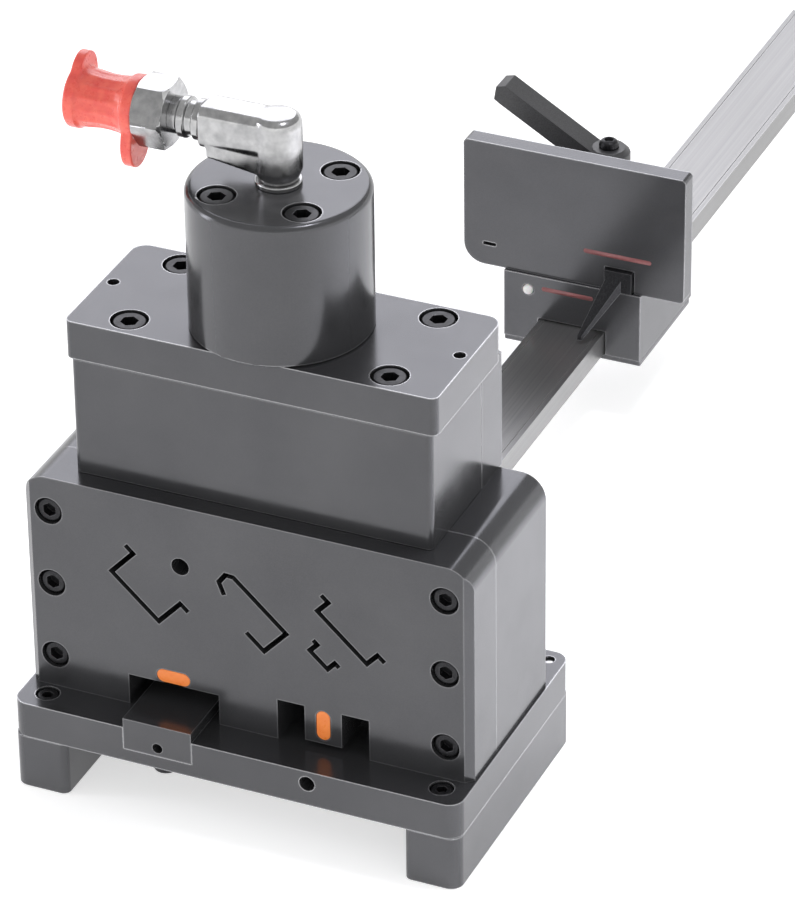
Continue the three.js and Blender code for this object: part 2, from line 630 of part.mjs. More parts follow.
jackScrews.forEach(([x, y], i) => {
  place(`cylinder_screw_${i + 1}`, 'screw', capScrew(m8, 57), [x, y, jack.top - 0.5], upright);
});
lidScrews.forEach(([x, y], i) => {
  place(`top_plate_screw_${i + 1}`, 'screw', capScrew(m8, 28), [x, y, lid.top - 0.5], upright);
});
plateScrews.forEach(([x, z], i) => {
  place(`front_plate_screw_${i + 1}`, 'screw', capScrew(m6, 34), [x, 1, z], facingOut);
});
[['left', -1], ['right', 1]].forEach(([side, sign]) => {
  place(`base_screw_${side}`, 'screw', capScrew(m5, 20), [sign * baseScrew.x, baseScrew.y, -0.5], upright);
  place(`base_dowel_${side}`, 'zinc', bar('z', [0, 0], -11.5, -1, baseDowel.radius, 12),
    [sign * baseDowel.x, baseDowel.y, 0]);
  place(`housing_screw_${side}`, 'screw', capScrew(m8, 50),
    [sign * housingScrew.x, housingScrew.y, -base.thick - foot.high + 1], facingDown);
});
railScrews.forEach((y, i) => {
  place(`rail_screw_${i + 1}`, 'screw', capScrew(m5, 12), [0, y, rail.top], upright);
});
place('die_screw', 'screw', turned([
  [0, 0], [4.2, 0], [5, 1], [5, 4], [2.5, 4], [2.5, 14], [0, 14],
], 12), [-station.x, dieScrewFront, -base.thick - 4]);

export default machine;
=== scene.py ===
import json
import math

import bmesh
import bpy
from mathutils import Matrix, Vector

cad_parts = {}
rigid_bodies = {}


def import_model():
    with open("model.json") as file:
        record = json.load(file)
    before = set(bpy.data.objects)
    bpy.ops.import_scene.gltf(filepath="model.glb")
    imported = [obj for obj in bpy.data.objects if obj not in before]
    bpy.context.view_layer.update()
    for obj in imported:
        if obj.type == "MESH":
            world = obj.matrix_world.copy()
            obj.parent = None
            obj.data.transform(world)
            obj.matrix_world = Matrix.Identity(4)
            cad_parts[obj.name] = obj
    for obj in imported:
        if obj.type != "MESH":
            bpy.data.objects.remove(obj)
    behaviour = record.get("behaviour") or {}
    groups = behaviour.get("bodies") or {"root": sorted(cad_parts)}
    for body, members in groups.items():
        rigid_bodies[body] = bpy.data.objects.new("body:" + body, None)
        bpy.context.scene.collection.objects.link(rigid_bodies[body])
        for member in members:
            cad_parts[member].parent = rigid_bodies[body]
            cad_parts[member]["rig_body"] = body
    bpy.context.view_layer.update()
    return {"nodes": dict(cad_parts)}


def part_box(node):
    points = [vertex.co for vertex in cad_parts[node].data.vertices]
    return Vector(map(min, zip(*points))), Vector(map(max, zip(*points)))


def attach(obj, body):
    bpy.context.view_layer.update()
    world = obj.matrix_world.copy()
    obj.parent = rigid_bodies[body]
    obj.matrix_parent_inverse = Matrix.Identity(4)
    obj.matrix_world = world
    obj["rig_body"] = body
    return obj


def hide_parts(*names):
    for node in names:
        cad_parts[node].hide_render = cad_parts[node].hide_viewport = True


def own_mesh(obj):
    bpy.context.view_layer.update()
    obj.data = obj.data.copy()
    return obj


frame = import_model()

mm = 0.001
fullTurn = 2 * math.pi
front, left, right = Vector((0, -1, 0)), Vector((-1, 0, 0)), Vector((1, 0, 0))
up, down = Vector((0, 0, 1)), Vector((0, 0, -1))
print("frame loaded:", len(frame["nodes"]), "nodes")


viewpoint = {
    "target": (0.0352, -0.2445, 0.1344),
    "azimuth": 24.0,
    "elevation": 31.51,
    "roll": -0.76,
    "distance": 2.0596,
    "lens": 223.6,
}


def addCamera(settings):
    azimuth = math.radians(settings["azimuth"])
    elevation = math.radians(settings["elevation"])
    roll = math.radians(settings["roll"])
    back = Vector((
        math.sin(azimuth) * math.cos(elevation),
        -math.cos(azimuth) * math.cos(elevation),
        math.sin(elevation),
    ))
    flatRight = Vector((math.cos(azimuth), math.sin(azimuth), 0))
    flatUp = back.cross(flatRight)
    cameraRight = math.cos(roll) * flatRight + math.sin(roll) * flatUp
    cameraUp = back.cross(cameraRight)
    camera = bpy.data.objects.new("camera", bpy.data.cameras.new("camera"))
    camera.data.lens = settings["lens"]
    camera.data.clip_end = 100
    turn = Matrix((cameraRight, cameraUp, back)).transposed().to_4x4()
    camera.matrix_world = Matrix.Translation(Vector(settings["target"]) + back * settings["distance"]) @ turn
    bpy.context.scene.collection.objects.link(camera)
    bpy.context.scene.camera = camera


studio = {
    "floorRadius": 5.0,
    "wallRadius": 6.5,
    "wallHeight": 2.2,
    "skyStrength": 0.55,
    "floorGlow": 0.56,
    "panelColour": (0.93, 0.93, 1.0),
    "panels": [
        # name, place, aim, width, height, power, spread in degrees
        ("overheadPanel", (-0.95, 1.75, 1.65), (0, -0.15, 0.15), 1.9, 1.5, 22.5, 180),
        ("rightFloorPanel", (0.34, -0.07, 1.3), (0.31, -0.10, 0), 0.3, 0.3, 0.9, 36),
        ("leftStrip", (-1.3, -0.75, 0.45), (0, -0.25, 0.15), 0.25, 0.9, 4, 180),
    ],
}


def addPanel(name, place, aim, width, height, power, spread):
    panel = bpy.data.objects.new(name, bpy.data.lights.new(name, "AREA"))
    panel.data.shape = "RECTANGLE"
    panel.data.size = width
    panel.data.size_y = height
    panel.data.energy = power
    panel.data.color = studio["panelColour"]
    panel.data.spread = math.radians(spread)
    panel.location = place
    panel.rotation_euler = (Vector(place) - Vector(aim)).to_track_quat("Z", "Y").to_euler()
    bpy.context.scene.collection.objects.link(panel)


def addStudio(settings):
    sweep = [(0, 0), (settings["floorRadius"], 0)]
    steps = 10
    for i in range(1, steps + 1):
        angle = i / steps * fullTurn / 4
        reach = settings["wallRadius"] - settings["floorRadius"]
        sweep.append((settings["floorRadius"] + reach * math.sin(angle), reach * (1 - math.cos(angle))))
    sweep.append((settings["wallRadius"], settings["wallHeight"]))
    floor = bmesh.new()
    spots = [floor.verts.new((radius, 0, height - 0.0002)) for radius, height in sweep]
    rims = [floor.edges.new(pair) for pair in zip(spots, spots[1:])]
    bmesh.ops.spin(floor, geom=spots + rims, axis=(0, 0, 1), angle=fullTurn, steps=96, use_merge=True)
    bmesh.ops.remove_doubles(floor, verts=floor.verts, dist=1e-5)
    mesh = bpy.data.meshes.new("floor")
    floor.to_mesh(mesh)
    floor.free()
    mesh.shade_smooth()
    sheet = bpy.data.objects.new("floor", mesh)
    sheet.data.materials.append(palePaper())
    bpy.context.scene.collection.objects.link(sheet)
    for panel in settings["panels"]:
        addPanel(*panel)
    world = bpy.data.worlds.new("studio")
    world.use_nodes = True
    background = world.node_tree.nodes["Background"]
    background.inputs["Color"].default_value = (1, 1, 1, 1)
    background.inputs["Strength"].default_value = settings["skyStrength"]
    bpy.context.scene.world = world
    bpy.context.scene.view_settings.view_transform = "Standard"


class Finish:
    # A material under construction: the shader and short ways to add nodes to it.
    def __init__(self, name, **sockets):
        self.material = bpy.data.materials.new(name)
        self.material.use_nodes = True
        self.nodes = self.material.node_tree.nodes
        self.links = self.material.node_tree.links
        self.shader = self.nodes["Principled BSDF"]
        for socket, value in sockets.items():
            self.shader.inputs[socket.replace("_", " ")].default_value = value
        self.place = self.add("ShaderNodeTexCoord").outputs["Object"]

    def add(self, kind, **settings):
        node = self.nodes.new(kind)
        for key, value in settings.items():
            setattr(node, key, value)
        return node

    def link(self, source, target):
        self.links.new(source, target)

    # Noise in the piece's own place, stretched along the axes, in repeats per metre.
    def noise(self, repeats, stretch=(1, 1, 1), detail=3.0, roughness=0.55):
        mapping = self.add("ShaderNodeMapping")
        mapping.inputs["Scale"].default_value = stretch
        texture = self.add("ShaderNodeTexNoise")
        texture.inputs["Scale"].default_value = repeats
        texture.inputs["Detail"].default_value = detail
        texture.inputs["Roughness"].default_value = roughness
        self.link(self.place, mapping.inputs["Vector"])
        self.link(mapping.outputs["Vector"], texture.inputs["Vector"])
        return texture.outputs["Fac"]

    # Takes a factor from one range of values to another.
    def spread(self, factor, low, high, fromLow=0.3, fromHigh=0.7):
        spread = self.add("ShaderNodeMapRange")
        limits = {"From Min": fromLow, "From Max": fromHigh, "To Min": low, "To Max": high}
        for socket, value in limits.items():
            spread.inputs[socket].default_value = value
        self.link(factor, spread.inputs["Value"])
        return spread.outputs["Result"]

    def mix(self, factor, first, second, blend="MIX"):
        mix = self.add("ShaderNodeMix", data_type="RGBA", blend_type=blend)
        for socket, value in ((mix.inputs[0], factor), (mix.inputs[6], first), (mix.inputs[7], second)):
            if isinstance(value, bpy.types.NodeSocket):
                self.link(value, socket)
            else:
                socket.default_value = value
        return mix.outputs[2]

    # A mask that is 1 on convex and concave edges, from a rounded normal against the real one.
    def edges(self, radius, low, high):
        rounded = self.add("ShaderNodeBevel", samples=4)
        rounded.inputs["Radius"].default_value = radius
        real = self.add("ShaderNodeNewGeometry")
        across = self.add("ShaderNodeVectorMath", operation="DOT_PRODUCT")
        self.link(rounded.outputs["Normal"], across.inputs[0])
        self.link(real.outputs["Normal"], across.inputs[1])
        return self.spread(across.outputs["Value"], high, low, 0.86, 0.995)

    def bumps(self, *layers):
        normal = None
        for factor, strength, distance in layers:
            bump = self.add("ShaderNodeBump")
            bump.inputs["Strength"].default_value = strength
            bump.inputs["Distance"].default_value = distance
            self.link(factor, bump.inputs["Height"])
            if normal is not None:
                self.link(normal, bump.inputs["Normal"])
            normal = bump.outputs["Normal"]
        self.link(normal, self.shader.inputs["Normal"])

    def colour(self, source):
        self.link(source, self.shader.inputs["Base Color"])

    def roughness(self, source):
        self.link(source, self.shader.inputs["Roughness"])


def rgb(red, green, blue):
    return (red, green, blue, 1)


def palePaper():
    finish = Finish("palePaper", Roughness=0.9, Emission_Strength=studio["floorGlow"])
    finish.shader.inputs["Emission Color"].default_value = (1, 1, 1, 1)
    finish.colour(finish.mix(finish.noise(3), rgb(0.86, 0.86, 0.86), rgb(0.89, 0.89, 0.89)))
    return finish.material


blackening = {"dark": 0.080, "light": 0.098, "worn": 0.62, "rough": 0.20, "wornRough": 0.17, "grain": 2600,
              "rubbed": 0.95, "fresh": 0.38}  # how much shows on the edges of old and new pieces


# Oil-black steel: a fine satin grain, faint clouding from the bath and brighter rubbed edges.
def blackSteel(name, rubbed):
    look = blackening
    finish = Finish(name, Metallic=0.66)
    clouds = finish.noise(26, detail=5)
    grain = finish.noise(look["grain"], detail=2)
    dark = rgb(look["dark"], look["dark"] * 1.01, look["dark"] * 1.07)
    light = rgb(look["light"], look["light"] * 1.005, look["light"] * 1.05)
    base = finish.mix(finish.spread(clouds, 0, 1), dark, light)
    base = finish.mix(finish.spread(grain, 0.0, 0.20), base, rgb(0.17, 0.17, 0.18))
    worn = finish.edges(0.0008, 0.0, rubbed)
    finish.colour(finish.mix(worn, base, rgb(look["worn"], look["worn"], look["worn"] * 1.02)))
    smooth = finish.spread(finish.noise(60, detail=4), look["rough"] - 0.04, look["rough"] + 0.05)
    rub = finish.add("ShaderNodeMath", operation="MULTIPLY_ADD")
    finish.link(worn, rub.inputs[0])
    rub.inputs[1].default_value = look["wornRough"] - look["rough"]
    finish.link(smooth, rub.inputs[2])
    finish.roughness(rub.outputs[0])
    finish.bumps((grain, 0.07, 0.00005))
    return finish.material


# Ground tool steel: fine lines one way from the wheel.
def toolSteel():
    finish = Finish("toolSteel", Metallic=1.0)
    lines = finish.noise(900, stretch=(0.04, 1, 1), detail=2)
    clouds = finish.noise(40, detail=4)
    base = finish.mix(finish.spread(clouds, 0, 1), rgb(0.15, 0.15, 0.155), rgb(0.21, 0.21, 0.215))
    finish.colour(finish.mix(finish.edges(0.0005, 0, 0.6), base, rgb(0.45, 0.45, 0.46)))
    finish.roughness(finish.spread(lines, 0.22, 0.36))
    finish.bumps((lines, 0.12, 0.00005))
    return finish.material


def screwSteel():
    finish = Finish("screwSteel", Metallic=0.75)
    specks = finish.noise(1500, detail=3)
    base = finish.mix(finish.spread(specks, 0, 1), rgb(0.018, 0.018, 0.020), rgb(0.042, 0.042, 0.045))
    finish.colour(finish.mix(finish.edges(0.0003, 0, 0.6), base, rgb(0.32, 0.32, 0.33)))
    finish.roughness(finish.spread(finish.noise(300), 0.28, 0.42))
    finish.bumps((specks, 0.12, 0.00005))
    return finish.material


# Zinc plate: bright, a little mottled, with the turning lines under it.
def brightZinc():
    finish = Finish("brightZinc", Metallic=1.0)
    mottle = finish.noise(220, detail=4)
    base = finish.mix(finish.spread(mottle, 0, 1), rgb(0.35, 0.35, 0.355), rgb(0.53, 0.53, 0.53))
    finish.colour(finish.mix(finish.edges(0.0005, 0, 0.5), base, rgb(0.85, 0.85, 0.85)))
    finish.roughness(finish.spread(finish.noise(130, detail=3), 0.14, 0.27))
    lines = finish.noise(700, stretch=(1, 0.25, 0.25), detail=2)
    finish.bumps((lines, 0.10, 0.00008), (mottle, 0.08, 0.0002))
    return finish.material


# Drawn rail: long fine lines down its length.
def railAluminium():
    finish = Finish("railAluminium", Metallic=0.82)
    lines = finish.noise(900, stretch=(1, 0.002, 1), detail=3, roughness=0.7)
    patches = finish.noise(18, stretch=(1, 0.4, 1), detail=4)
    base = finish.mix(finish.spread(lines, 0, 1), rgb(0.25, 0.25, 0.252), rgb(0.33, 0.327, 0.325))
    base = finish.mix(finish.spread(patches, 0, 0.3), base, rgb(0.36, 0.356, 0.352))
    finish.colour(finish.mix(finish.edges(0.0005, 0, 0.6), base, rgb(0.6, 0.6, 0.6)))
    finish.roughness(finish.spread(patches, 0.30, 0.40))
    finish.bumps((lines, 0.06, 0.00004))
    return finish.material


def sealRubber():
    finish = Finish("sealRubber", Roughness=0.6)
    finish.colour(finish.mix(finish.noise(200), rgb(0.012, 0.012, 0.012), rgb(0.03, 0.03, 0.03)))
    finish.bumps((finish.noise(900), 0.15, 0.0001))
    return finish.material


def guideBronze():
    finish = Finish("guideBronze", Metallic=1.0)
    finish.colour(finish.mix(finish.noise(150), rgb(0.50, 0.30, 0.12), rgb(0.66, 0.42, 0.19)))
    finish.roughness(finish.spread(finish.noise(300), 0.2, 0.36))
    finish.bumps((finish.noise(900, stretch=(0.1, 0.1, 1)), 0.08, 0.00005))
    return finish.material


# Soft moulded vinyl: glossy, lightly mottled, a little light going into it.
def capPlastic():
    finish = Finish("capPlastic", Roughness=0.28, Subsurface_Weight=0.12, Subsurface_Scale=0.002)
    finish.shader.inputs["Subsurface Radius"].default_value = (1.0, 0.25, 0.15)
    finish.shader.inputs["Coat Weight"].default_value = 0.25
    finish.shader.inputs["Coat Roughness"].default_value = 0.18
    mottle = finish.noise(240, detail=4)
    finish.colour(finish.mix(finish.spread(mottle, 0, 1), rgb(0.80, 0.085, 0.070), rgb(0.92, 0.16, 0.11)))
    finish.roughness(finish.spread(finish.noise(500), 0.22, 0.40))
    finish.bumps((mottle, 0.14, 0.0003), (finish.noise(1500), 0.06, 0.0001))
    return finish.material


def markPaint():
    finish = Finish("markPaint", Roughness=0.35)
    finish.colour(finish.mix(finish.noise(400, detail=4), rgb(0.86, 0.20, 0.035), rgb(0.97, 0.30, 0.07)))
    finish.roughness(finish.spread(finish.noise(500), 0.26, 0.42))
    finish.bumps((finish.noise(900), 0.10, 0.0001))
    return finish.material


def linePaint():
    finish = Finish("linePaint", Roughness=0.45)
    finish.colour(finish.mix(finish.noise(600, detail=4), rgb(0.17, 0.045, 0.050), rgb(0.29, 0.100, 0.095)))
    finish.bumps((finish.noise(900), 0.10, 0.0001))
    return finish.material


def plugNylon():
    finish = Finish("plugNylon", Roughness=0.4, Subsurface_Weight=0.2, Subsurface_Scale=0.001)
    finish.colour(finish.mix(finish.noise(300), rgb(0.78, 0.78, 0.75), rgb(0.90, 0.90, 0.88)))
    finish.bumps((finish.noise(800), 0.08, 0.0001))
    return finish.material


# Moulded lever plastic with a fine spark texture.
def leverPlastic():
    finish = Finish("leverPlastic", Roughness=0.42)
    specks = finish.noise(1800, detail=2)
    base = finish.mix(finish.spread(specks, 0, 1), rgb(0.040, 0.040, 0.042), rgb(0.070, 0.070, 0.073))
    finish.colour(base)
    finish.roughness(finish.spread(finish.noise(90, detail=4), 0.34, 0.5))
    finish.bumps((specks, 0.22, 0.00012))
    return finish.material


finishes = {
    "black_steel": blackSteel("blackSteel", blackening["rubbed"]),
    "tool_steel": toolSteel(),
    "screw_steel": screwSteel(),
    "bright_zinc": brightZinc(),
    "rail_aluminium": railAluminium(),
    "seal_rubber": sealRubber(),
    "guide_bronze": guideBronze(),
    "cap_plastic": capPlastic(),
    "mark_paint": markPaint(),
    "plug_nylon": plugNylon(),
    "lever_plastic": leverPlastic(),
}
freshBlack = blackSteel("freshBlackSteel", blackening["fresh"])
print("finishes made:", len(finishes) + 1)


def looseObject(solid):
    mesh = bpy.data.meshes.new("loose")
    solid.to_mesh(mesh)
    solid.free()
    loose = bpy.data.objects.new("loose", mesh)
    bpy.context.scene.collection.objects.link(loose)
    return loose


def discard(loose):
    mesh = loose.data
    bpy.data.objects.remove(loose)
    bpy.data.meshes.remove(mesh)


# The shape that an object has with its modifiers on, as a new bmesh.
def settled(loose):
    bpy.context.view_layer.update()
    solid = bmesh.new()
    solid.from_object(loose, bpy.context.evaluated_depsgraph_get())
    discard(loose)
    return solid


def combined(solid, tool, operation="DIFFERENCE"):
    target, other = looseObject(solid), looseObject(tool)
    boolean = target.modifiers.new("boolean", "BOOLEAN")
    boolean.operation = operation
    boolean.solver = "EXACT"
    boolean.object = other
    result = settled(target)
    discard(other)
    return result


# One skin over everything in a bmesh, softened as a moulding or a forging is.
def reskinned(solid, grid, passes=4):
    target = looseObject(solid)
    skin = target.modifiers.new("skin", "REMESH")
    skin.mode = "VOXEL"
    skin.voxel_size = grid
    result = settled(target)
    for i in range(passes):
        bmesh.ops.smooth_vert(
            result, verts=result.verts, factor=0.5, use_axis_x=True, use_axis_y=True, use_axis_z=True)
    return result


def turned(profile, steps=96, closed=False):
    solid = bmesh.new()
    spots = [solid.verts.new((radius, 0, height)) for radius, height in profile]
    rims = [solid.edges.new(pair) for pair in zip(spots, spots[1:])]
    if closed:
        rims.append(solid.edges.new((spots[-1], spots[0])))
    bmesh.ops.spin(solid, geom=spots + rims, axis=(0, 0, 1), angle=fullTurn, steps=steps, use_merge=True)
    bmesh.ops.remove_doubles(solid, verts=solid.verts, dist=1e-7)
    bmesh.ops.recalc_face_normals(solid, faces=solid.faces)
    return solid


def block(low, high):
    low, high = Vector(low), Vector(high)
    solid = bmesh.new()
    size = Matrix.Diagonal((*(high - low), 1))
    bmesh.ops.create_cube(solid, size=1, matrix=Matrix.Translation((low + high) / 2) @ size)
    return solid


def addTo(solid, more):
    mesh = bpy.data.meshes.new("loose")
    more.to_mesh(mesh)
    more.free()
    solid.from_mesh(mesh)
    bpy.data.meshes.remove(mesh)
    return solid


def moved(solid, matrix):
    bmesh.ops.transform(solid, matrix=matrix, verts=solid.verts)
    return solid


# A turn and move that takes +Z to a direction and the origin to a point.
def standing(point, direction):
    return Matrix.Translation(point) @ direction.to_track_quat("Z", "Y").to_matrix().to_4x4()


# The end face of a node's box on one side.
def endOf(node, out):
    low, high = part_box(node)
    reach = (high - low) / 2
    return (low + high) / 2 + Vector([out[i] * reach[i] for i in range(3)])


def longOf(node, out):
    low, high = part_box(node)
    return abs((high - low).dot(out))


# A node's own shape, with its loose triangles merged into whole faces.
def nodeSolid(node):
    solid = bmesh.new()
    solid.from_mesh(frame["nodes"][node].data)
    bmesh.ops.remove_doubles(solid, verts=solid.verts, dist=2e-6)
    bmesh.ops.dissolve_limit(solid, angle_limit=math.radians(0.5), verts=solid.verts, edges=solid.edges)
    return solid


# True round holes: each is a point on the surface, the way out, a radius and a depth.
def rounded(solid, holes, steps=48):
    cutters = bmesh.new()
    for point, out, radius, depth in holes:
        drill = turned([(0, -depth), (radius, -depth), (radius, 2 * mm), (0, 2 * mm)], steps)
        addTo(cutters, moved(drill, standing(point, out)))
    return combined(solid, cutters)


# A finished piece: its edges rounded, riding on its node's body in place of the node.
def finishPiece(name, solid, slot, node, edge=0.0, steps=3, sharp=32, finish=None, body=None):
    mesh = bpy.data.meshes.new(name)
    solid.to_mesh(mesh)
    solid.free()
    mesh.shade_smooth()
    piece = bpy.data.objects.new(name, mesh)
    bpy.context.scene.collection.objects.link(piece)
    mesh.materials.clear()
    mesh.materials.append(finish or finishes[slot])
    for polygon in mesh.polygons:
        polygon.material_index = 0
    if edge:
        bevel = piece.modifiers.new("edges", "BEVEL")
        bevel.width = edge
        bevel.segments = steps
        bevel.limit_method = "ANGLE"
        bevel.angle_limit = math.radians(sharp)
        bevel.use_clamp_overlap = True
        even = piece.modifiers.new("even", "WEIGHTED_NORMAL")
        even.mode = "FACE_AREA"
        even.weight = 80
    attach(piece, body or frame["nodes"][node]["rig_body"])
    if node:
        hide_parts(node)
    return piece


screwSizes = {
    "m5": {"head": 4.25 * mm, "high": 5 * mm, "key": 4 * mm, "shank": 2.5 * mm, "bore": 4.65 * mm},
    "m6": {"head": 5 * mm, "high": 6 * mm, "key": 5 * mm, "shank": 3 * mm, "bore": 5.6 * mm},
    "m8": {"head": 6.5 * mm, "high": 8 * mm, "key": 6 * mm, "shank": 4 * mm, "bore": 7.2 * mm},
}
knurl = {"steps": 72, "depth": 0.965}  # every other point drawn in to this part of the head's radius


# A new circle's edges.
def ring(solid, segments, radius):
    made = bmesh.ops.create_circle(solid, segments=segments, radius=radius)
    return list({edge for vert in made["verts"] for edge in vert.link_edges})


# Built with the top of its head at the origin and its shank along -Z.
def socketScrew(size, length):
    solid = bmesh.new()
    cornerRadius = size["key"] / 2 / math.cos(math.pi / 6)
    hexRim = ring(solid, 6, cornerRadius)
    topRim = ring(solid, knurl["steps"], size["head"] - 0.7 * mm)
    bmesh.ops.bridge_loops(solid, edges=hexRim + topRim)
    rings = [
        (size["head"], -0.6 * mm), (size["head"], 0.3 * mm - size["high"]),
        (size["head"] - 0.3 * mm, -size["high"]), (size["shank"], -size["high"]),
        (size["shank"], 0.6 * mm - length), (size["shank"] - 0.5 * mm, -length),
    ]
    rim, knurled = topRim, []
    for index, (radius, height) in enumerate(rings):
        grown = bmesh.ops.extrude_edge_only(solid, edges=rim)["geom"]
        spots = [item for item in grown if isinstance(item, bmesh.types.BMVert)]
        rim = [item for item in grown if isinstance(item, bmesh.types.BMEdge)]
        for spot in spots:
            flat = Vector((spot.co.x, spot.co.y)).normalized() * radius
            spot.co = (flat.x, flat.y, height)
        if index < 2:
            knurled += spots
    for spot in knurled:
        turn = math.atan2(spot.co.y, spot.co.x) / fullTurn * knurl["steps"]
        if round(turn) % 2:
            spot.co.x *= knurl["depth"]
            spot.co.y *= knurl["depth"]
    bmesh.ops.edgeloop_fill(solid, edges=rim)
    socket = bmesh.ops.extrude_edge_only(solid, edges=hexRim)["geom"]
    floorSpots = [item for item in socket if isinstance(item, bmesh.types.BMVert)]
    floorRim = [item for item in socket if isinstance(item, bmesh.types.BMEdge)]
    bmesh.ops.translate(solid, verts=floorSpots, vec=(0, 0, -size["high"] * 0.55))
    bmesh.ops.edgeloop_fill(solid, edges=floorRim)
    bmesh.ops.recalc_face_normals(solid, faces=solid.faces)
    return solid


# Where every socket screw sits: its node, its size, and the way that its head faces.
screws = {f"front_plate_screw_{i}": ("m6", front) for i in range(1, 7)}
screws.update({f"top_plate_screw_{i}": ("m8", up) for i in range(1, 5)})
screws.update({f"cylinder_screw_{i}": ("m8", up) for i in range(1, 5)})
screws.update({f"base_screw_{side}": ("m5", up) for side in ("left", "right")})
screws.update({f"housing_screw_{side}": ("m8", down) for side in ("left", "right")})
screws.update({f"rail_screw_{i}": ("m5", up) for i in (1, 2)})


def addScrews():
    for node, (size, out) in screws.items():
        solid = socketScrew(screwSizes[size], longOf(node, out))
        moved(solid, standing(endOf(node, out), out))
        finishPiece(node.replace("screw", "capScrew"), solid, "screw_steel", node, edge=0.12 * mm, steps=2)
    length = longOf("die_screw", down)
    button = turned([
        (0, -0.6 * mm), (1.6 * mm, -0.6 * mm), (1.9 * mm, 0), (3.6 * mm, 0), (4.5 * mm, -0.4 * mm),
        (5 * mm, -1.3 * mm), (5 * mm, -4 * mm), (2.5 * mm, -4 * mm), (2.5 * mm, 0.5 * mm - length),
        (2 * mm, -length), (0, -length),
    ])
    moved(button, standing(endOf("die_screw", down), down))
    finishPiece("dieScrew", button, "screw_steel", "die_screw", edge=0.15 * mm, steps=2)


# The counterbores that hold a plate's screws, as deep as from its face to under the heads.
def counterbores(nodes, face):
    holes = []
    for node in nodes:
        size, out = screws[node]
        tip = endOf(node, out)
        lift = (face - tip).dot(out)
        deep = lift + screwSizes[size]["high"] + 0.06 * mm
        holes.append((tip + out * lift, out, screwSizes[size]["bore"], deep))
    return holes


baseLook = {"edge": 0.7 * mm, "frontHole": 3.1 * mm, "frontHoleDown": 5.5 * mm, "dowelHole": 2.35 * mm}


def addBase():
    low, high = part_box("base_plate")
    face = Vector((0, 0, high.z))
    holes = counterbores(["base_screw_left", "base_screw_right"], face)
    for side in ("left", "right"):
        place = endOf(f"base_dowel_{side}", up)
        holes.append((Vector((place.x, place.y, high.z)), up, baseLook["dowelHole"], 3 * mm))
    markPlace = endOf("right_mark", front)
    frontHole = Vector((markPlace.x, low.y, high.z - baseLook["frontHoleDown"]))
    holes.append((frontHole, front, baseLook["frontHole"], 9.1 * mm))
    finishPiece("basePlate", rounded(nodeSolid("base_plate"), holes), "black_steel", "base_plate",
                edge=baseLook["edge"])
    for side in ("left", "right"):
        head = endOf(f"housing_screw_{side}", down)
        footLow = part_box(f"{side}_foot")[0].z
        hole = (Vector((head.x, head.y, footLow)), down, screwSizes["m8"]["bore"], 9.06 * mm)
        finishPiece(f"{side}Foot", rounded(nodeSolid(f"{side}_foot"), [hole]), "black_steel", f"{side}_foot",
                    edge=baseLook["edge"])
        length = longOf(f"base_dowel_{side}", up)
        dowel = turned([(0, 0), (1.5 * mm, 0), (2 * mm, -0.5 * mm), (2 * mm, 0.5 * mm - length),
                        (1.5 * mm, -length), (0, -length)], 48)
        moved(dowel, standing(endOf(f"base_dowel_{side}", up), up))
        finishPiece(f"{side}Dowel", dowel, "bright_zinc", f"base_dowel_{side}", edge=0.1 * mm, steps=2)


housingLook = {
    "plateEdge": 0.35 * mm, "blockEdge": 0.5 * mm, "towerEdge": 0.5 * mm, "lidEdge": 0.8 * mm,
    "barHole": 3.55 * mm, "barHoleX": -26 * mm, "barHoleHigh": 66.2 * mm,  # height above the plate's foot
    "lidDowel": 2.3 * mm, "lidDowelX": 69 * mm, "lidDowelIn": 30 * mm,  # in from the lid's back edge
}


def addHousing():
    look = housingLook
    low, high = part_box("front_die_plate")
    face = Vector((0, low.y, 0))
    holes = counterbores([f"front_plate_screw_{i}" for i in range(1, 7)], face)
    barHole = Vector((look["barHoleX"], low.y, low.z + look["barHoleHigh"]))
    holes.append((barHole, front, look["barHole"], 30 * mm))
    frontPlate = rounded(nodeSolid("front_die_plate"), holes)
    finishPiece("frontDiePlate", frontPlate, "black_steel", "front_die_plate",
                edge=look["plateEdge"], finish=freshBlack)
    finishPiece("rearBlock", nodeSolid("rear_block"), "black_steel", "rear_block",
                edge=look["blockEdge"])
    for node, name in (("upper_housing", "upperHousing"), ("upper_rear_plate", "upperRearPlate")):
        finishPiece(name, nodeSolid(node), "black_steel", node, edge=look["towerEdge"])
    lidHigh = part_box("top_plate")[1]
    holes = counterbores([f"top_plate_screw_{i}" for i in range(1, 5)], Vector((0, 0, lidHigh.z)))
    for side in (-1, 1):
        place = Vector((side * look["lidDowelX"], lidHigh.y - look["lidDowelIn"], lidHigh.z))
        holes.append((place, up, look["lidDowel"], 6.05 * mm))
    finishPiece("topPlate", rounded(nodeSolid("top_plate"), holes), "black_steel", "top_plate",
                edge=look["lidEdge"])


cylinderLook = {"fillet": 2.6 * mm, "foot": 0.8 * mm, "bore": 18 * mm, "head": 16 * mm, "port": 6.6 * mm,
                "screwHole": 4.3 * mm, "rimEdge": 0.35 * mm, "arcSteps": 8}


